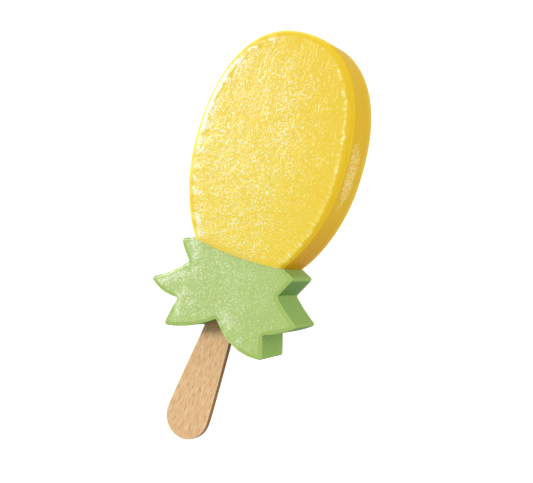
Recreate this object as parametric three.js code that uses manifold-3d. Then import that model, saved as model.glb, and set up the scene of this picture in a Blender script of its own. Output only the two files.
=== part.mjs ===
import * as THREE from "three";
import { mergeVertices } from "three/addons/utils/BufferGeometryUtils.js";
import Module from "manifold-3d";

// An ice lolly in the shape of a pineapple: a yellow fruit, a green crown of six leaves, and a wooden stick.
// Millimetres. It lies on its back with the front face up (+Z) and the fruit's top towards +Y.
// The plan is drawn from the middle of the seam between fruit and crown.

const thickness = 19.6;
const seamGap = 0.3;
const stickClearance = 0.3;

// The fruit is egg-shaped: a squarish upper half, and a lower half that narrows towards the seam.
const fruitHalfWidth = 30;
const fruitWidestY = 37.6;
const fruitTopRise = 44.9;
const fruitLowerReach = 46.7;
const fruitTopSquareness = 2.28;
const fruitLowerSquareness = 1.94;
const fruitEdgeRadius = 1.7;

// The seam sags in the middle: it is this much higher at its ends.
const seamHalfLength = 18.3;
const seamEndRise = 1.2;

// The crown's leaves, from the seam down. A tip and the notch below it are each [half-width, drop], and a bow is
// how far an edge bulges. The two sides differ a little, as a frozen and unmoulded lolly does.
const leftLeaves = [
  { tip: [23.4, 0.4], upperBow: 0.1, lowerBow: 0.2, notch: [17.5, 7.4] },
  { tip: [31, 17.6], upperBow: -0.8, lowerBow: 1.3, notch: [18, 21.5] },
  { tip: [20.5, 32.7], upperBow: 0.1, lowerBow: 1.3 },
];
const rightLeaves = [
  { tip: [23.8, 0.7], upperBow: 0.2, lowerBow: 0, notch: [19.6, 8.7] },
  { tip: [30.3, 16.4], upperBow: -0.3, lowerBow: 0.5, notch: [18.5, 23.4] },
  { tip: [21.1, 31.7], upperBow: 0, lowerBow: 3.3 },
];
// Above the seam the outline closes inside the fruit, where the seam cuts it off.
const crownShoulder = { x: 12, y: 3.5, radius: 5 };
const crownBottomNotch = { x: -0.6, y: -23.7 };
const leafTipRadius = 1;
const leafNotchRadius = 0.3;
const bottomNotchRadius = 0.4;
const crownEdgeRadius = 0.5;
const crownBackScale = 0.978;

// The stick is a wide-ended wooden one, pushed in slightly askew at mid-thickness.
const stickLength = 113;
const stickWideEndWidth = 17.5;
const stickNarrowEndWidth = 9.4;
const stickThickness = 2.8;
const stickTaperEnd = 54;
const stickShoulder = { width: 17.4, fromEnd: 14.5 };
const stickEdgeRadius = 0.4;
const stickWideEndX = -5.1;
const stickWideEndY = -71.9;
const stickTiltDeg = 3.5;

const wasm = await Module();
wasm.setup();

// A geometry as a manifold-3d solid, and a solid as a geometry.
function solidOf(geometry) {
  const bare = geometry.clone();
  bare.deleteAttribute("normal");
  bare.deleteAttribute("uv");
  const merged = mergeVertices(bare, 1e-4);
  return new wasm.Manifold(
    new wasm.Mesh({
      numProp: 3,
      vertProperties: merged.attributes.position.array,
      triVerts: new Uint32Array(merged.index.array),
    }),
  );
}

function geometryOf(solid) {
  const mesh = solid.getMesh();
  const geometry = new THREE.BufferGeometry();
  geometry.setAttribute("position", new THREE.BufferAttribute(mesh.vertProperties, 3));
  geometry.setIndex(new THREE.BufferAttribute(mesh.triVerts, 1));
  const faceted = geometry.toNonIndexed();
  faceted.computeVertexNormals();
  return faceted;
}

// A plan outline raised to a slab from z = 0, with its front and back edges rounded inwards.
function slab(shape, { height, edgeRadius, edgeSegments, curveSegments }) {
  const geometry = new THREE.ExtrudeGeometry(shape, {
    depth: height - 2 * edgeRadius,
    curveSegments,
    bevelEnabled: edgeRadius > 0,
    bevelThickness: edgeRadius,
    bevelSize: edgeRadius,
    bevelOffset: -edgeRadius,
    bevelSegments: edgeSegments,
  });
  return geometry.translate(0, 0, edgeRadius);
}

// A slab drawn in towards the middle of the seam, more the nearer to its back.
function tapered(geometry, backScale) {
  const position = geometry.attributes.position;
  for (let i = 0; i < position.count; i++) {
    const scale = THREE.MathUtils.lerp(backScale, 1, position.getZ(i) / thickness);
    position.setX(i, position.getX(i) * scale);
    position.setY(i, position.getY(i) * scale);
  }
  return geometry;
}

// The height of the seam at x: a shallow parabola through its two ends.
function seamY(x) {
  return seamEndRise * (x / seamHalfLength) ** 2;
}

// Everything on one side of the seam, as a solid that cuts the fruit or the crown to it.
function seamSide(side) {
  const reach = 45;
  const depthOfCut = 100;
  const steps = 24;
  const shape = new THREE.Shape();
  shape.moveTo(-reach, side * depthOfCut);
  for (let i = 0; i <= steps; i++) {
    const x = -reach + (2 * reach * i) / steps;
    shape.lineTo(x, seamY(x) + (side * seamGap) / 2);
  }
  shape.lineTo(reach, side * depthOfCut);
  const geometry = new THREE.ExtrudeGeometry(shape, { depth: 2 * thickness, bevelEnabled: false });
  return solidOf(geometry.translate(0, 0, -thickness / 2));
}

// The fruit's outline is two half superellipses that meet at its widest line.
function fruitShape() {
  const steps = 120;
  const points = [];
  for (let i = 0; i < steps; i++) {
    const angle = (2 * Math.PI * i) / steps;
    const across = Math.cos(angle);
    const along = Math.sin(angle);
    const upper = along >= 0;
    const power = 2 / (upper ? fruitTopSquareness : fruitLowerSquareness);
    const height = upper ? fruitTopRise : fruitLowerReach;
    points.push(
      new THREE.Vector2(
        fruitHalfWidth * Math.sign(across) * Math.abs(across) ** power,
        fruitWidestY + height * Math.sign(along) * Math.abs(along) ** power,
      ),
    );
  }
  return new THREE.Shape(points);
}

// A closed outline through corners, counterclockwise. Each corner is rounded by its radius, and the edge after it
// bulges outwards by its bow.
function bowedShape(corners) {
  const count = corners.length;
  const at = corners.map((corner) => new THREE.Vector2(corner.x, corner.y));
  const middles = at.map((start, i) => {
    const end = at[(i + 1) % count];
    const along = end.clone().sub(start).normalize();
    const outward = new THREE.Vector2(along.y, -along.x);
    return start
      .clone()
      .add(end)
      .multiplyScalar(0.5)
      .addScaledVector(outward, 2 * corners[i].bow);
  });
  const shape = new THREE.Shape();
  at.forEach((corner, i) => {
    const radius = corners[i].radius;
    const before = middles[(i + count - 1) % count];
    const back = before.clone().sub(corner).normalize();
    const ahead = middles[i].clone().sub(corner).normalize();
    const halfAngle = Math.acos(back.dot(ahead)) / 2;
    const trim = radius / Math.tan(halfAngle);
    const inward = back.clone().add(ahead).normalize();
    const centre = corner.clone().addScaledVector(inward, radius / Math.sin(halfAngle));
    const from = corner.clone().addScaledVector(back, trim).sub(centre).angle();
    const to = corner.clone().addScaledVector(ahead, trim).sub(centre).angle();
    const clockwise = back.cross(ahead) > 0;
    const entry = corner.clone().addScaledVector(back, trim);
    if (i === 0) shape.moveTo(entry.x, entry.y);
    else shape.quadraticCurveTo(before.x, before.y, entry.x, entry.y);
    shape.absarc(centre.x, centre.y, radius, from, to, clockwise);
  });
  const last = middles[count - 1];
  const first = shape.getPoint(0);
  shape.quadraticCurveTo(last.x, last.y, first.x, first.y);
  return shape;
}

// The crown's corners down the left side, across the bottom notch and up the right side.
function crownShape() {
  const cornersOf = (leaves, side) =>
    leaves.flatMap((leaf) => {
      const tip = { x: side * leaf.tip[0], y: -leaf.tip[1], radius: leafTipRadius };
      const notch = leaf.notch && { x: side * leaf.notch[0], y: -leaf.notch[1], radius: leafNotchRadius };
      return notch ? [tip, notch] : [tip];
    });
  const bowsOf = (leaves) => leaves.flatMap((leaf) => [leaf.upperBow, leaf.lowerBow]);
  const shoulder = (side) => ({ ...crownShoulder, x: side * crownShoulder.x });
  const left = [shoulder(-1), ...cornersOf(leftLeaves, -1)];
  const right = [shoulder(1), ...cornersOf(rightLeaves, 1)].reverse();
  const bottom = { ...crownBottomNotch, radius: bottomNotchRadius };
  const bows = [...bowsOf(leftLeaves), ...bowsOf(rightLeaves).reverse(), 0];
  const corners = [...left, bottom, ...right];
  return bowedShape(corners.map((corner, i) => ({ ...corner, bow: bows[i] })));
}

// The stick's outline from its wide end at y = 0, grown by a clearance for the slot in the ice.
function stickShape(grow) {
  const wide = stickWideEndWidth / 2 + grow;
  const narrow = stickNarrowEndWidth / 2 + grow;
  const shoulder = stickShoulder.width / 2 + grow;
  const wideCentre = stickWideEndWidth / 2;
  const narrowCentre = stickLength - stickNarrowEndWidth / 2;
  const shape = new THREE.Shape();
  shape.absarc(0, wideCentre, wide, Math.PI, 2 * Math.PI, false);
  shape.quadraticCurveTo(shoulder, stickShoulder.fromEnd, narrow, stickTaperEnd);
  shape.absarc(0, narrowCentre, narrow, 0, Math.PI, false);
  shape.lineTo(-narrow, stickTaperEnd);
  shape.quadraticCurveTo(-shoulder, stickShoulder.fromEnd, -wide, wideCentre);
  return shape;
}

function stickSlab(grow, edgeRadius) {
  const height = stickThickness + 2 * grow;
  return slab(stickShape(grow), { height, edgeRadius, edgeSegments: 2, curveSegments: 9 })
    .translate(0, 0, (thickness - height) / 2)
    .rotateZ(THREE.MathUtils.degToRad(-stickTiltDeg))
    .translate(stickWideEndX, stickWideEndY, 0);
}

const group = new THREE.Group();

function addMesh(name, geometry, color, roughness) {
  const material = new THREE.MeshStandardMaterial({ color, roughness, metalness: 0 });
  const mesh = new THREE.Mesh(geometry, material);
  mesh.name = name;
  group.add(mesh);
}

const slot = solidOf(stickSlab(stickClearance, 0));

const fruitSlab = slab(fruitShape(), { height: thickness, edgeRadius: fruitEdgeRadius, edgeSegments: 4 });
const fruit = solidOf(fruitSlab);
addMesh("fruit_ice", geometryOf(fruit.intersect(seamSide(1)).subtract(slot)), 0xf0cf45, 0.45);

const crownSlab = slab(crownShape(), {
  height: thickness,
  edgeRadius: crownEdgeRadius,
  edgeSegments: 3,
  curveSegments: 5,
});
const crown = solidOf(tapered(crownSlab, crownBackScale));
addMesh("crown_ice", geometryOf(crown.intersect(seamSide(-1)).subtract(slot)), 0xb2c97a, 0.45);

addMesh("stick", stickSlab(0, stickEdgeRadius), 0xdcb685, 0.7);

// The row's origin is under the middle of the whole lolly, so the plan moves down its length.
const lengthAboveSeam = fruitWidestY + fruitTopRise;
group.position.y = -(lengthAboveSeam + stickWideEndY) / 2;

export default group;
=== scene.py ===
import bpy
import bmesh
import math
from mathutils import Matrix, Vector, noise
from mathutils.bvhtree import BVHTree


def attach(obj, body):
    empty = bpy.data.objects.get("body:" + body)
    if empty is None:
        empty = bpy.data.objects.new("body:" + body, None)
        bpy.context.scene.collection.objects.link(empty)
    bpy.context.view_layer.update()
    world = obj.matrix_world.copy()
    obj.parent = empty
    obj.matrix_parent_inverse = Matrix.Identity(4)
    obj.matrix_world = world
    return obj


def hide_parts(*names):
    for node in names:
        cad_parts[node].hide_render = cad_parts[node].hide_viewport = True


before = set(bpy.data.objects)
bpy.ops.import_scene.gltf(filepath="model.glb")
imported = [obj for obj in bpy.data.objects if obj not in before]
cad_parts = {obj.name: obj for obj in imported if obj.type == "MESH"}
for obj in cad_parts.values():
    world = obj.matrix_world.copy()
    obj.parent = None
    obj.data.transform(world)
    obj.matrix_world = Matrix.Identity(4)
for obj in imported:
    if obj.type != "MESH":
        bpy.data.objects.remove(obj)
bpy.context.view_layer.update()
mm = 0.001
print("frame loaded")

# The lolly's own sizes, in millimetres. It lies on its back, front face up, with the fruit towards +Y.
lolly = {
    "thickness": 19.6,
    "seamMiddleY": -5.3,
    "seamEndRise": 1.2,       # the seam between yellow and green ice is this much higher at its ends
    "seamHalfLength": 18.3,
    "seamGap": 0.3,           # clearance between the two solids, closed here
    "slotHalfWidth": 9.5,     # the room that the stick takes inside the ice
    "slotHalfHeight": 2,
    "slotTop": 37,
}


def linear(hexColour):
    channels = [int(hexColour[i:i + 2], 16) / 255 for i in (0, 2, 4)]
    return [c / 12.92 if c <= 0.04045 else ((c + 0.055) / 1.055) ** 2.4 for c in channels] + [1]


def smoothStep(low, high, value):
    t = min(max((value - low) / (high - low), 0), 1)
    return t * t * (3 - 2 * t)


def seamY(x):
    return lolly["seamMiddleY"] + lolly["seamEndRise"] * (x / lolly["seamHalfLength"]) ** 2


# A link may name a socket or a whole node, which then gives the first output that is in use.
# Inputs go by name or number: a Mix node's numbers are 2 and 3, and its colours 6 and 7.
def addNode(tree, kind, settings=None, links=None):
    node = tree.nodes.new(kind)
    for key, value in (settings or {}).items():
        if isinstance(key, int) or key in node.inputs:
            node.inputs[key].default_value = value
        else:
            setattr(node, key, value)
    for key, source in (links or {}).items():
        if hasattr(source, "outputs"):
            source = next(socket for socket in source.outputs if socket.enabled)
        tree.links.new(source, node.inputs[key])
    return node


def newMaterial(name):
    material = bpy.data.materials.new(name)
    material.use_nodes = True
    material.node_tree.nodes.clear()
    return material


def addObject(name, data):
    thing = bpy.data.objects.new(name, data)
    bpy.context.collection.objects.link(thing)
    return thing


def asMesh(bm, name):
    mesh = bpy.data.meshes.new(name)
    bm.to_mesh(mesh)
    bm.free()
    return mesh


def everything(bm):
    return bm.verts[:] + bm.edges[:] + bm.faces[:]


def vertsOf(geometry):
    return [item for item in geometry if isinstance(item, bmesh.types.BMVert)]


# Camera

view = {
    "aimY": 14.5,             # eye and lamps are placed from this point of the front face's middle line
    "turn": 24.5,             # degrees the lolly's right side is turned towards the eye
    "tip": 2.5,               # degrees the eye is moved towards the stick's end
    "lean": 18.5,             # degrees the lolly leans to the right in the picture
    "eye": (5.18, -13.54, 382.6),
    "lens": 72.95,
    "sensor": 36,
    "clipStart": 10,
}


def viewTurn():
    turn = Matrix.Identity(4)
    for axis, key in (("Z", "lean"), ("Y", "turn"), ("X", "tip")):
        turn = turn @ Matrix.Rotation(math.radians(view[key]), 4, axis)
    return turn


def placeFromView(offset):    # millimetres across, up and towards the eye, from the point at aimY
    aim = Vector((0, view["aimY"], lolly["thickness"])) * mm
    return aim + viewTurn() @ (Vector(offset) * mm)


def addCamera():
    data = bpy.data.cameras.new("camera")
    data.lens = view["lens"]
    data.sensor_width = view["sensor"]
    data.clip_start = view["clipStart"] * mm
    camera = addObject("camera", data)
    camera.matrix_world = Matrix.Translation(placeFromView(view["eye"])) @ viewTurn()
    bpy.context.scene.camera = camera


# Frosted water ice: frozen in a mould, so its sides are smooth, and its open faces are grainy with frost
# crystals. On the edges that face the key lamp, up and left, the frost is drawn thicker as painted sheen, and
# the frost thins out towards the right as painted fall-off of light and glints.

fruitIce = {
    "node": "fruit_ice",
    "slot": "yellow_ice",
    "side": 1,                # the fruit lies above the seam
    "voxel": 0.53,
    "smoothing": 2,
    "centre": (0, 32),
    "rim": (                  # angle round the centre, width of the smooth band outside the frost, its crest
        (0, 2.2, 0.12), (20, 2.4, 0.14), (50, 2.4, 0.13), (70, 2, 0.04), (95, 1.8, 0.01), (112, 2.6, 0.09),
        (180, 2.9, 0.09), (225, 2.6, 0.07), (250, 1.6, 0.03), (300, 1.1, 0), (330, 1.5, 0.05),
        (360, 2.2, 0.12),
    ),
    "rimTeeth": 0.4,          # how far the frost's edge wanders over that band
    "rimRise": 0.75,          # the band swells over this width towards the frost
    "rimFall": 1.7,           # and falls back to it over this width
    "rimSink": 0.02,          # the frosted face lies this much lower than the band
    "gloss": 0.75,            # of the clear film on ice without crystals
    "streaks": 1,             # crystals near the right rim point at it, as they grew inwards from the mould
    "leeCrest": 1,            # how much of the crest there is on rims that don't face left
    "ridgeSheen": 0,          # painted highlight, drawn as frost, on the rounded edges that face right
    "bareAtSeam": 0.6,
    "sideFrost": 0.06,
    "sideCrystals": 0.2,      # loose crystals on the sides
    # a frosted patch on the right-hand side, painted glints where the side reflects light
    "sideGlintPatch": {"at": (30, 35, 12.5), "across": 8, "along": 15, "high": 6.5},
    # how far in from the edges that face the key lamp the frost is drawn thicker, as painted sheen
    "sheenReach": 4.5,
    "crystal": (0.5, 0.66),   # across and along the lolly, drawn coarser than real ones of 0.1 to 0.2
    "body": "EDC92E",
    "frost": "F1DF64",
    # white crystal points, partly real frost and partly painted glints of the key lamp
    "crystalTipGlint": "FFFDEA",
    "pale": "F4E27A",         # painted light on the rounded edges that face the key lamp, and on the sides' back edges
    "deep": "CAA119",         # clear sides, deeper in colour and partly darkened as painted shade
    "shade": "C48A06",        # painted shade on the sides that face down
    "glow": (0.9, 0.6, 0.12),
}
crownIce = {
    "node": "crown_ice",
    "slot": "green_ice",
    "side": -1,
    "voxel": 0.36,
    "smoothing": 2,
    "centre": (0, -18),
    "rim": ((0, 1.2, 0.035), (360, 1.2, 0.035)),
    "rimTeeth": 0.15,
    "rimRise": 0.6,
    "rimFall": 0.6,
    "rimSink": 0,
    "gloss": 0.3,
    "streaks": 0,
    "leeCrest": 0.1,
    "ridgeSheen": 0.9,
    "bareAtSeam": 0.2,
    "sideFrost": 0.15,
    "sideCrystals": 0.5,
    "sideGlintPatch": None,
    "sheenReach": 7,
    "crystal": (0.36, 0.55),
    "body": "A6C268",
    "frost": "BFD48F",
    "crystalTipGlint": "E2EDC6",
    # on the crown the edge colour is a darker green line along the key-facing edges, painted shade
    "pale": "86A65A",
    "deep": "7F9F4B",
    "shade": "426E26",
    "glow": (0.45, 0.75, 0.25),
}
iceBlank = {
    "weld": 0.002,            # points nearer each other than this become one
    "seamFit": 0.06,          # upright faces this near the seam are the wall along it
    "uprightFace": 0.5,       # a normal's Z below this is an upright face's
    "reachPastSeam": 6,       # each piece is made this much longer, and cut back once it has its relief
    "frontFace": 0.8,         # a normal's Z above this, this near the front, is the front face's
    "frontDepth": 1,
    "stickHold": 0.8,         # ice nearer the stick than this is frozen on to it
    "stickGap": 0.01,
    "slotMargin": 1,
    "outlineZ": 17,           # the outline is taken here, clear of the slot and the rounded edges
    "ribbonHeight": 2,
}

# Where the frost lies and how rough it is. Lengths are in millimetres. A pair of numbers is a range: nothing
# at its first value, all at its second.
relief = {
    "wallReach": 0.3,         # a point nearer the outline than this lies on the side wall
    "leftward": (0.1, 0.5),   # how far an edge has to face left to get the painted sheen
    "teeth": ((0.8, 1), (3, 0.8)),           # sizes and shares of the two waves in the frost's edge
    "flat": (0.85, 0.95),     # how upright the normal is on the front and back faces
    "frostEdge": (-0.1, 0.4),
    "seamBare": 4.5,          # the frost thins out this near to the seam
    "ridge": 0.65,            # how upright the normal is on the rounded edges
    "offRidge": (0.1, 0.35),
    "ridgeSide": (0, 0.3),
    "crestSize": 2.8,         # the crest comes and goes along the rim at this scale
    "crestMean": 0.7,
    "crestSwing": 1.3,
    "crestLeast": 0.1,
    "streakStart": 0.5,
    "streakReach": 5,
    "streakTeeth": 1.5,
    "streakSide": (-5, 15),
    "streakAcross": 0.7,
    "streakAlong": 3,
    "streakThick": 0.6,
    "grainAcross": 0.7,
    "grainAlong": 1,
    "grainHigh": 1.2,
    "grainDepth": 0.04,
    "bendSize": 8,            # the lines of grain bend at this scale
    "bend": 1.5,
    "sideGrain": 0.4,
    "lumpSize": 5,
    "lumpDepth": 0.07,
    "sideLumps": 0.3,         # how much of that depth the sides have
    "swellSize": 24,
    "swellDepth": 0.12,
    "sheenTop": (0.1, 0.5),
    "sheenStart": 0.5,
    "sheenPatches": (-0.35, 0.25),
    "sheenPatchSize": 3,
    "sidePatchEdge": (0.5, 1),
    "sidePatchRagged": 0.3,
    "sidePatchGrain": 4,
    "sidePatchHaze": 0.1,
    "mostOnSides": 0.5,       # crystals on the sides don't get denser than this
}
iceLayers = ("crystals", "frosted", "streaked", "thickFrostAndSheen")


def meshFromNode(name):
    bm = bmesh.new()
    bm.from_mesh(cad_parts[name].data)
    bmesh.ops.remove_doubles(bm, verts=bm.verts, dist=iceBlank["weld"] * mm)
    return bm


def onSeam(face, side):
    upright = abs(face.normal.z) < iceBlank["uprightFace"]
    offsets = [abs(v.co.y / mm - seamY(v.co.x / mm) - side * lolly["seamGap"] / 2) for v in face.verts]
    return upright and max(offsets) < iceBlank["seamFit"]


def inSlot(co):               # a point on the slot round the stick, not on the lolly's own skin
    x, y, z = co / mm
    near = abs(z - lolly["thickness"] / 2) < lolly["slotHalfHeight"] and abs(x) < lolly["slotHalfWidth"]
    return near and y < lolly["slotTop"]


def makeBlank(ice):
    coarse = meshFromNode(ice["node"])
    coarse.normal_update()
    wall = [face for face in coarse.faces if onSeam(face, ice["side"])]
    grown = bmesh.ops.extrude_face_region(coarse, geom=wall)["geom"]
    bmesh.ops.delete(coarse, geom=[face for face in wall if face.is_valid], context="FACES_ONLY")
    shift = (0, -ice["side"] * iceBlank["reachPastSeam"] * mm, 0)
    bmesh.ops.translate(coarse, verts=vertsOf(grown), vec=shift)
    blank = addObject("blank", asMesh(coarse, "blank"))
    remesh = blank.modifiers.new("fine", "REMESH")
    remesh.mode = "VOXEL"
    remesh.voxel_size = ice["voxel"] * mm
    bm = bmesh.new()
    bm.from_object(blank, bpy.context.evaluated_depsgraph_get())
    bpy.data.objects.remove(blank)
    for _ in range(ice["smoothing"]):
        bmesh.ops.smooth_vert(bm, verts=bm.verts, factor=0.5,
                              use_axis_x=True, use_axis_y=True, use_axis_z=True)
    refineFront(bm)
    freezeToStick(bm)
    return bm


def refineFront(bm):          # the shown face carries the finest grain, so its faces are halved in size
    bm.normal_update()
    lowest = (lolly["thickness"] - iceBlank["frontDepth"]) * mm
    facing = [face for face in bm.faces if face.normal.z > iceBlank["frontFace"]]
    front = [face for face in facing if face.calc_center_median().z > lowest]
    edges = {edge for face in front for edge in face.edges}
    bmesh.ops.subdivide_edges(bm, edges=list(edges), cuts=1, use_grid_fill=True)


def freezeToStick(bm):
    stick = meshFromNode("stick")
    tree = BVHTree.FromBMesh(stick)
    reach = lolly["slotHalfHeight"] + iceBlank["slotMargin"]
    for vert in bm.verts:
        if abs(vert.co.z / mm - lolly["thickness"] / 2) < reach:
            place, normal, _, _ = tree.find_nearest(vert.co, iceBlank["stickHold"] * mm)
            if place:
                vert.co = place + normal * iceBlank["stickGap"] * mm
    stick.free()


def outlineTree(bm):          # an upright ribbon along the outline, to measure distances from
    ribbon = bm.copy()
    height = iceBlank["outlineZ"] * mm
    bmesh.ops.bisect_plane(ribbon, geom=everything(ribbon), dist=0, plane_co=(0, 0, height),
                           plane_no=(0, 0, 1), clear_inner=True, clear_outer=True)
    upper = bmesh.ops.extrude_edge_only(ribbon, edges=ribbon.edges)["geom"]
    bmesh.ops.translate(ribbon, verts=vertsOf(upper), vec=(0, 0, iceBlank["ribbonHeight"] * mm))
    tree = BVHTree.FromBMesh(ribbon)
    ribbon.free()
    return tree


def rimAt(ice, rimPoint):     # the smooth band's width and its crest's height at a point of the outline
    offset = rimPoint.xy - Vector(ice["centre"])
    turn = math.degrees(math.atan2(offset.y, offset.x)) % 360
    for (start, *low), (end, *high) in zip(ice["rim"], ice["rim"][1:]):
        if turn <= end:
            return Vector(low).lerp(Vector(high), (turn - start) / (end - start))


def sideGlintPatchAt(ice, p):      # a frosted patch on the right-hand side, painted glints of reflected light
    patch = ice["sideGlintPatch"]
    if not patch:
        return 0
    offset = p - Vector(patch["at"])
    reach = math.hypot(offset.x / patch["across"], offset.y / patch["along"], offset.z / patch["high"])
    reach += relief["sidePatchRagged"] * noise.noise(p / relief["sidePatchGrain"])
    return 1 - smoothStep(*relief["sidePatchEdge"], reach)


def ridgeSheenAt(ice, normal):     # painted highlight, drawn as frost, on the rounded edges that face right
    ridge = 1 - smoothStep(*relief["offRidge"], abs(abs(normal.z) - relief["ridge"]))
    return ridge * ice["ridgeSheen"] * smoothStep(*relief["ridgeSide"], normal.x)


# painted sheen: frost drawn thicker and paler on the edges that face the key lamp
def keySheenAt(ice, p, normal, leftward, inward):
    keySheen = smoothStep(*relief["sheenTop"], normal.z) * leftward
    keySheen *= 1 - smoothStep(relief["sheenStart"], ice["sheenReach"], inward)
    return keySheen * smoothStep(*relief["sheenPatches"], noise.noise(p / relief["sheenPatchSize"]))


def crestAt(ice, rimPoint, height, leftward, inward):    # along the frost's edge
    wave = relief["crestMean"] + relief["crestSwing"] * noise.noise(rimPoint / relief["crestSize"])
    height *= max(relief["crestLeast"], wave) * (leftward + ice["leeCrest"] * (1 - leftward))
    rise = min(max(1 + inward / ice["rimRise"], 0), 1)
    fall = smoothStep(0, ice["rimFall"], inward)
    return height * rise - (height + ice["rimSink"]) * fall


def grainAt(p, rimPoint, distance, streaked):            # turned towards the rim where there are streaks
    bend = relief["bend"] * noise.noise(p / relief["bendSize"])
    along = Vector(((p.x + bend) / relief["grainAcross"], (p.y - bend) / relief["grainAlong"],
                    p.z / relief["grainHigh"]))
    across = relief["streakAcross"]
    inwards = Vector((rimPoint.x / across, rimPoint.y / across, distance / relief["streakAlong"]))
    return noise.noise(along) * (1 - streaked) + noise.noise(inwards) * streaked


def lumpsAt(p, crystals):     # the faces are lumpier than the sides
    lumps = relief["lumpDepth"] * noise.noise(p / relief["lumpSize"])
    swell = relief["swellDepth"] * noise.noise(p / relief["swellSize"])
    return lumps * (relief["sideLumps"] + (1 - relief["sideLumps"]) * crystals) + swell


def shapeIce(bm, ice):
    tree = outlineTree(bm)
    level = (iceBlank["outlineZ"] + iceBlank["ribbonHeight"] / 2) * mm
    rimLayer = bm.verts.layers.float_vector.new("rimPlace")
    layers = {name: bm.verts.layers.float.new(name) for name in iceLayers}
    bm.normal_update()
    moves = []
    for vert in bm.verts:
        if inSlot(vert.co):
            moves.append(Vector())
            continue
        p = vert.co / mm
        normal = vert.normal
        rimPoint, _, _, distance = tree.find_nearest(Vector((vert.co.x, vert.co.y, level)))
        rimPoint /= mm
        distance /= mm
        outward = (rimPoint.xy - p.xy if distance > relief["wallReach"] else normal.xy).normalized()
        leftward = smoothStep(*relief["leftward"], -outward.x)
        bandWidth, crestHeight = rimAt(ice, rimPoint)
        teeth = sum(share * noise.noise(rimPoint / size) for size, share in relief["teeth"])
        inward = distance - bandWidth - ice["rimTeeth"] * teeth

        # frost lies on the front and back faces, and thins out at the seam
        facing = smoothStep(*relief["flat"], abs(normal.z))
        onSide = 1 - facing
        nearSeam = 1 - smoothStep(0, relief["seamBare"], ice["side"] * (p.y - seamY(p.x)))
        crystals = facing * smoothStep(*relief["frostEdge"], inward) * (1 - ice["bareAtSeam"] * nearSeam)
        # the side patch, the right-facing ridges and the edges that face the key lamp get painted glints,
        # highlights and sheen
        patch = onSide * sideGlintPatchAt(ice, p)
        ridge = ridgeSheenAt(ice, normal)
        keySheen = keySheenAt(ice, p, normal, leftward, inward)
        streakEnd = relief["streakReach"] + relief["streakTeeth"] * teeth
        nearRim = 1 - smoothStep(bandWidth + relief["streakStart"], streakEnd, distance)
        streaked = ice["streaks"] * facing * nearRim * smoothStep(*relief["streakSide"], rimPoint.x)
        sideHaze = ice["sideFrost"] + relief["sidePatchHaze"] * patch
        values = {
            "crystals": crystals + onSide * min(relief["mostOnSides"], ice["sideCrystals"] + patch),
            "frosted": max(crystals + onSide * sideHaze, keySheen, ridge),
            "streaked": streaked,
            "thickFrostAndSheen": max(keySheen, relief["streakThick"] * streaked * crystals, ridge, patch),
        }
        for name, value in values.items():
            vert[layers[name]] = value
        vert[rimLayer] = (rimPoint.x, rimPoint.y, distance)

        grain = grainAt(p, rimPoint, distance, streaked) * (crystals + onSide * relief["sideGrain"])
        move = grain * relief["grainDepth"] + lumpsAt(p, crystals)
        move += facing * crestAt(ice, rimPoint, crestHeight, leftward, inward)
        moves.append(normal * move * mm)
    for vert, move in zip(bm.verts, moves):
        vert.co += move
        vert.co.z = max(vert.co.z, 0)


def cutAtSeam(bm, side):      # the seam is made straight, cut, closed and bent back
    for vert in bm.verts:
        vert.co.y -= seamY(vert.co.x / mm) * mm
    cut = bmesh.ops.bisect_plane(bm, geom=everything(bm), dist=0, plane_co=(0, 0, 0), plane_no=(0, 1, 0),
                                 clear_inner=side > 0, clear_outer=side < 0)
    edges = [item for item in cut["geom_cut"] if isinstance(item, bmesh.types.BMEdge)]
    bmesh.ops.triangle_fill(bm, use_beauty=True, use_dissolve=False, edges=edges)
    for face in bm.faces:
        face.smooth = True
    for edge in edges:
        edge.smooth = False
    for vert in bm.verts:
        vert.co.y += seamY(vert.co.x / mm) * mm
    bmesh.ops.recalc_face_normals(bm, faces=bm.faces)


# Each range below is a Map Range node's settings. The first four are in millimetres.
iceFinish = {
    # painted fall-off of light and glints: the frost thins out towards the right
    "paintedFalloffRight": {"From Min": 4, "From Max": 25, "To Max": -0.13},
    "bareTop": {"From Min": 62, "From Max": 75, "To Max": -0.1},
    "clearTop": {"From Min": 28, "From Max": 65, "To Max": -0.13},      # for the haze alone
    # painted light: the sides are paler towards their back edges, next to the lit floor
    "nearBack": {"From Min": 6, "From Max": 1, "To Max": 0.2},
    "streak": (0.45, 2.5),    # millimetres across and along
    "patchSize": 9,
    "patchDepth": 0.14,       # how much deeper the frost is in a patch
    "frostLevel": -0.08,      # how deep it is outside the patches
    "thickDepth": 0.18,       # how much deeper it is on streaks, and on the painted sheen, highlights and glints of edges, ridges and side patch
    "tipGlints": {"interpolation_type": "SMOOTHSTEP", "From Min": 0.56, "From Max": 0.7},
    "haze": {"interpolation_type": "SMOOTHSTEP", "From Min": 0.34, "From Max": 0.6, "To Min": 0.3},
    "sideways": {"From Min": 0.5, "From Max": 0.05},                    # of how upright the normal is
    "rounding": {"From Min": 1, "From Max": 0.85},
    "flat": {"From Min": 0.93, "From Max": 0.98},
    "keyLampSide": (-0.9, 0.43, 0),                                        # the key lamp's side, from which the painted light on the edges comes
    # how far an edge faces the key lamp, for its painted light
    "facesKeyLamp": {"From Min": 0, "From Max": 0.5},
    # the left wall, lit by the key lamp itself, gets less of that painted light
    "leftWall": {"From Min": -0.15, "From Max": -0.55, "To Max": 0.85},
    # painted shade: the walls that face down take the shade colour
    "facesDown": {"From Min": -0.2, "From Max": -0.52},
    "filmLeft": {"To Min": 1, "To Max": 0.3},                           # of the film, under crystals
    "scatter": 3,
    "bump": 0.05,
}


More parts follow.
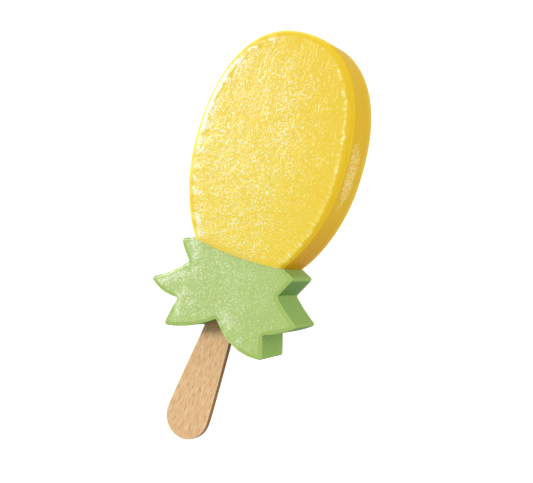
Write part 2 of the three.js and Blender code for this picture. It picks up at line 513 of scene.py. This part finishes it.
def crystalPattern(tree, ice, inMm, streaked):     # short grains, and streaks that point at the rim
    across, along = ice["crystal"]
    grainPlace = addNode(tree, "ShaderNodeMapping", {"Scale": (1 / across, 1 / along, 1 / across)},
                         {"Vector": inMm})
    grains = addNode(tree, "ShaderNodeTexNoise",
                     {"Scale": 1, "Detail": 1, "Roughness": 0.5, "Distortion": 0.6}, {"Vector": grainPlace})
    rim = addNode(tree, "ShaderNodeAttribute", {"attribute_name": "rimPlace"})
    across, along = iceFinish["streak"]
    streakPlace = addNode(tree, "ShaderNodeMapping", {"Scale": (1 / across, 1 / across, 1 / along)},
                          {"Vector": rim.outputs["Vector"]})
    streaks = addNode(tree, "ShaderNodeTexNoise",
                      {"Scale": 1, "Detail": 1, "Roughness": 0.5, "Distortion": 0.4}, {"Vector": streakPlace})
    return addNode(tree, "ShaderNodeMix", {"data_type": "FLOAT"}, {0: streaked, 2: grains, 3: streaks})


# Frost lies in patches, is thicker on streaks and where painted sheen, highlights and glints lie, and thins
# out on the right, a painted fall-off of light and glints, and at the top.
def frostCover(tree, inMm, position, pattern, thickFrostAndSheen):
    finish = iceFinish
    patches = addNode(tree, "ShaderNodeTexNoise", {"Scale": 1 / finish["patchSize"], "Detail": 3},
                      {"Vector": inMm})
    level = addNode(tree, "ShaderNodeMath", {
        "operation": "MULTIPLY_ADD", 1: finish["patchDepth"], 2: finish["frostLevel"]}, {0: patches})
    paintedFalloffRight = addNode(tree, "ShaderNodeMapRange", finish["paintedFalloffRight"], {"Value": position.outputs["X"]})
    bareTop = addNode(tree, "ShaderNodeMapRange", finish["bareTop"], {"Value": position.outputs["Y"]})
    clearTop = addNode(tree, "ShaderNodeMapRange", finish["clearTop"], {"Value": position.outputs["Y"]})
    thinning = addNode(tree, "ShaderNodeMath", {"operation": "ADD"}, {0: paintedFalloffRight, 1: bareTop})
    uneven = addNode(tree, "ShaderNodeMath", {"operation": "ADD"}, {0: level, 1: thinning})
    depth = addNode(tree, "ShaderNodeMath", {"operation": "MULTIPLY_ADD", 1: finish["thickDepth"]},
                    {0: thickFrostAndSheen, 2: uneven})
    lifted = addNode(tree, "ShaderNodeMath", {"operation": "ADD"}, {0: pattern, 1: depth})
    clearer = addNode(tree, "ShaderNodeMath", {"operation": "ADD"}, {0: lifted, 1: clearTop})
    tipGlints = addNode(tree, "ShaderNodeMapRange", finish["tipGlints"], {"Value": lifted})
    haze = addNode(tree, "ShaderNodeMapRange", finish["haze"], {"Value": clearer})
    return tipGlints, haze


# Under the frost the sides are clear, and so deep in colour, and painted shade darkens them most where they
# face down. Painted light pales the rounded edges that face up and left, towards the key lamp, the top and
# the sides' back edges; on the crown this edge colour is a darker green line, painted shade.
def bareIceColour(tree, ice, normal, upright, position):
    finish = iceFinish
    facing = addNode(tree, "ShaderNodeSeparateXYZ", {}, {"Vector": normal})
    sideways = addNode(tree, "ShaderNodeMapRange", finish["sideways"], {"Value": upright})
    upLeft = addNode(tree, "ShaderNodeVectorMath", {"operation": "DOT_PRODUCT", 1: finish["keyLampSide"]},
                     {0: normal})
    facesKeyLamp = addNode(tree, "ShaderNodeMapRange", finish["facesKeyLamp"], {"Value": upLeft})
    leftWall = addNode(tree, "ShaderNodeMapRange", finish["leftWall"], {"Value": facing.outputs["X"]})
    keyLitWall = addNode(tree, "ShaderNodeMath", {"operation": "MULTIPLY"}, {0: leftWall, 1: sideways})
    keyFacingEdge = addNode(tree, "ShaderNodeMath", {"operation": "SUBTRACT", "use_clamp": True},
                        {0: facesKeyLamp, 1: keyLitWall})
    nearBack = addNode(tree, "ShaderNodeMapRange", finish["nearBack"], {"Value": position.outputs["Z"]})
    paleSide = addNode(tree, "ShaderNodeMath", {"operation": "MAXIMUM"}, {0: keyFacingEdge, 1: nearBack})
    rounding = addNode(tree, "ShaderNodeMapRange", finish["rounding"], {"Value": upright})
    paleHere = addNode(tree, "ShaderNodeMath", {"operation": "MULTIPLY"}, {0: paleSide, 1: rounding})
    facesDown = addNode(tree, "ShaderNodeMapRange", finish["facesDown"], {"Value": facing.outputs["Y"]})
    flank = addNode(tree, "ShaderNodeMix", {
        "data_type": "RGBA", 6: linear(ice["deep"]), 7: linear(ice["shade"])}, {0: facesDown})
    skin = addNode(tree, "ShaderNodeMix", {"data_type": "RGBA", 6: linear(ice["body"])},
                   {0: sideways, 7: flank})
    return addNode(tree, "ShaderNodeMix", {"data_type": "RGBA", 7: linear(ice["pale"])},
                   {0: paleHere, 6: skin})


def iceMaterial(name, ice):
    material = newMaterial(name)
    tree = material.node_tree
    finish = iceFinish
    place = addNode(tree, "ShaderNodeTexCoord")
    inMm = addNode(tree, "ShaderNodeMapping", {"Scale": [1 / mm] * 3}, {"Vector": place.outputs["Object"]})
    position = addNode(tree, "ShaderNodeSeparateXYZ", {}, {"Vector": inMm})
    facing = addNode(tree, "ShaderNodeSeparateXYZ", {}, {"Vector": place.outputs["Normal"]})
    upright = addNode(tree, "ShaderNodeMath", {"operation": "ABSOLUTE"}, {0: facing.outputs["Z"]})
    crystals, frosted, streaked, thickFrostAndSheen = [
        addNode(tree, "ShaderNodeAttribute", {"attribute_name": layer}).outputs["Fac"] for layer in iceLayers]

    pattern = crystalPattern(tree, ice, inMm, streaked)
    tipGlints, haze = frostCover(tree, inMm, position, pattern, thickFrostAndSheen)
    bare = bareIceColour(tree, ice, place.outputs["Normal"], upright, position)
    hazeHere = addNode(tree, "ShaderNodeMath", {"operation": "MULTIPLY"}, {0: haze, 1: frosted})
    tipGlintsHere = addNode(tree, "ShaderNodeMath", {"operation": "MULTIPLY"}, {0: tipGlints, 1: crystals})
    hazy = addNode(tree, "ShaderNodeMix", {"data_type": "RGBA", 7: linear(ice["frost"])},
                   {0: hazeHere, 6: bare})
    colour = addNode(tree, "ShaderNodeMix", {"data_type": "RGBA", 7: linear(ice["crystalTipGlint"])},
                     {0: tipGlintsHere, 6: hazy})

    # crystals stand out a little, and a film of melted ice shines on the flat faces between them
    height = addNode(tree, "ShaderNodeMath", {"operation": "MULTIPLY"}, {0: pattern, 1: crystals})
    bump = addNode(tree, "ShaderNodeBump", {"Strength": 1, "Distance": finish["bump"] * mm},
                   {"Height": height})
    flat = addNode(tree, "ShaderNodeMapRange", {**finish["flat"], "To Max": ice["gloss"]}, {"Value": upright})
    filmLeft = addNode(tree, "ShaderNodeMapRange", finish["filmLeft"], {"Value": crystals})
    film = addNode(tree, "ShaderNodeMath", {"operation": "MULTIPLY"}, {0: flat, 1: filmLeft})
    surface = addNode(tree, "ShaderNodeBsdfPrincipled", {
        "IOR": 1.31, "Roughness": 0.45, "Specular IOR Level": 0.05,
        "Subsurface Weight": 0.3, "Subsurface Radius": ice["glow"],
        "Subsurface Scale": finish["scatter"] * mm, "Coat IOR": 1.6, "Coat Roughness": 0.16,
    }, {"Base Color": colour, "Coat Weight": film, "Normal": bump, "Coat Normal": bump})
    addNode(tree, "ShaderNodeOutputMaterial", {}, {"Surface": surface})
    return material


def makeIce(name, ice, materialName):
    bm = makeBlank(ice)
    shapeIce(bm, ice)
    cutAtSeam(bm, ice["side"])
    print(name, sum(len(face.verts) - 2 for face in bm.faces), "triangles")
    piece = addObject(name, asMesh(bm, name))
    piece.data.materials.append(iceMaterial(materialName, ice))
    return piece


# Beech stick: sawn, tumbled smooth and left bare, so it has long pale fibres with short darker flecks between
# them, a paler line painted along its rounded edges as a highlight, and browner cut sides.

beech = {
    "face": "EBCBA0",
    "fibre": "D8A871",
    "fleck": "AC753E",
    # painted highlight along the rounded edges
    "edgeHighlight": "F0D4AC",
    "edge": "86581F",
    "tilt": 3.5,              # degrees the stick is askew
    "fibres": (0.34, 5),      # millimetres across and along
    "flecks": (0.34, 2.8),    # both are drawn wider than real ones, which are about 0.1 across
    "fibreTones": {"From Min": 0.35, "From Max": 0.65},
    "fleckTones": {"From Min": 0.58, "From Max": 0.75, "To Max": 0.8},
    "edgeHighlightLine": {"From Min": 0.99, "From Max": 0.93},                   # of how upright the normal is
    "cutSide": {"From Min": 0.8, "From Max": 0.3},
    "bump": 0.05,
}


def beechMaterial():
    material = newMaterial("beechBareTumbled")
    tree = material.node_tree
    place = addNode(tree, "ShaderNodeTexCoord")
    along = addNode(tree, "ShaderNodeMapping", {
        "Scale": [1 / mm] * 3, "Rotation": (0, 0, math.radians(beech["tilt"]))},
        {"Vector": place.outputs["Object"]})
    thin, long = beech["fibres"]
    fibrePlace = addNode(tree, "ShaderNodeMapping", {"Scale": (1 / thin, 1 / long, 1 / thin)},
                         {"Vector": along})
    grain = addNode(tree, "ShaderNodeTexNoise", {"Scale": 1, "Detail": 2, "Roughness": 0.5},
                    {"Vector": fibrePlace})
    thin, long = beech["flecks"]
    fleckPlace = addNode(tree, "ShaderNodeMapping", {"Scale": (1 / thin, 1 / long, 1 / thin)},
                         {"Vector": along})
    fleck = addNode(tree, "ShaderNodeTexNoise", {"Scale": 1, "Detail": 1}, {"Vector": fleckPlace})
    tone = addNode(tree, "ShaderNodeMapRange", beech["fibreTones"], {"Value": grain})
    dark = addNode(tree, "ShaderNodeMapRange", beech["fleckTones"], {"Value": fleck})
    wood = addNode(tree, "ShaderNodeMix", {
        "data_type": "RGBA", 6: linear(beech["face"]), 7: linear(beech["fibre"])}, {0: tone})
    flecked = addNode(tree, "ShaderNodeMix", {"data_type": "RGBA", 7: linear(beech["fleck"])},
                      {0: dark, 6: wood})
    facing = addNode(tree, "ShaderNodeSeparateXYZ", {}, {"Vector": place.outputs["Normal"]})
    upright = addNode(tree, "ShaderNodeMath", {"operation": "ABSOLUTE"}, {0: facing.outputs["Z"]})
    edgeHighlightLine = addNode(tree, "ShaderNodeMapRange", beech["edgeHighlightLine"], {"Value": upright})
    cutSide = addNode(tree, "ShaderNodeMapRange", beech["cutSide"], {"Value": upright})
    edgeHighlight = addNode(tree, "ShaderNodeMix", {"data_type": "RGBA", 7: linear(beech["edgeHighlight"])},
                   {0: edgeHighlightLine, 6: flecked})
    colour = addNode(tree, "ShaderNodeMix", {"data_type": "RGBA", 7: linear(beech["edge"])},
                     {0: cutSide, 6: edgeHighlight})
    bump = addNode(tree, "ShaderNodeBump", {"Strength": 0.6, "Distance": beech["bump"] * mm},
                   {"Height": grain})
    surface = addNode(tree, "ShaderNodeBsdfPrincipled", {
        "IOR": 1.5, "Roughness": 0.62, "Specular IOR Level": 0.15}, {"Base Color": colour, "Normal": bump})
    addNode(tree, "ShaderNodeOutputMaterial", {}, {"Surface": surface})
    return material


# Studio: a lit-up white sheet, so that shadows stay pale, a tall soft box far off at the upper left that
# draws the glints, and a square one near by on the right that fills the sides.

studio = {
    "floor": "8A8A8A",
    "floorGlow": 1,
    "floorSize": 10000,
    "floorDrop": 0.05,
    "sky": 0.42,
    "lamps": {                # each lamp's place is in millimetres across, up and towards the eye
        "key": {"from": (-3200, 1160, 1400), "size": (680, 1720), "power": 108},
        "fill": {"from": (850, 200, 430), "size": (600, 600), "power": 5.6},
    },
}


def addLamp(name, lamp):
    data = bpy.data.lights.new(name, "AREA")
    data.shape = "RECTANGLE"
    data.size, data.size_y = [side * mm for side in lamp["size"]]
    data.energy = lamp["power"]
    light = addObject(name, data)
    place = placeFromView(lamp["from"])
    aim = placeFromView((0, 0, 0))
    turn = (place - aim).to_track_quat("Z", "Y").to_matrix().to_4x4()
    light.matrix_world = Matrix.Translation(place) @ turn


def addFloor():
    bm = bmesh.new()
    bmesh.ops.create_grid(bm, x_segments=1, y_segments=1, size=studio["floorSize"] / 2 * mm)
    bmesh.ops.translate(bm, verts=bm.verts, vec=(0, 0, -studio["floorDrop"] * mm))
    floor = addObject("floor", asMesh(bm, "floor"))
    material = newMaterial("whiteAcrylicSheet")
    tree = material.node_tree
    sheet = addNode(tree, "ShaderNodeBsdfPrincipled", {
        "Base Color": linear(studio["floor"]), "Roughness": 0.9, "Specular IOR Level": 0.1,
        "Emission Color": (1, 1, 1, 1), "Emission Strength": studio["floorGlow"]})
    addNode(tree, "ShaderNodeOutputMaterial", {}, {"Surface": sheet})
    floor.data.materials.append(material)


def addStudio():
    addFloor()
    world = bpy.data.worlds.new("studio")
    world.use_nodes = True
    background = world.node_tree.nodes["Background"]
    background.inputs["Color"].default_value = (1, 1, 1, 1)
    background.inputs["Strength"].default_value = studio["sky"]
    bpy.context.scene.world = world
    for name, lamp in studio["lamps"].items():
        addLamp(name, lamp)
    bpy.context.scene.view_settings.view_transform = "Standard"


addCamera()
print("camera set")

fruit = makeIce("fruitIce", fruitIce, "yellowWaterIceFrosted")
crown = makeIce("crownIce", crownIce, "greenWaterIceFrosted")
for piece, ice in ((fruit, fruitIce), (crown, crownIce)):
    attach(piece, "root")
    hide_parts(ice["node"])

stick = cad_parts["stick"]
for materialSlot in stick.material_slots:
    materialSlot.material = beechMaterial()
print("pieces dressed")

addStudio()
print("studio lit")
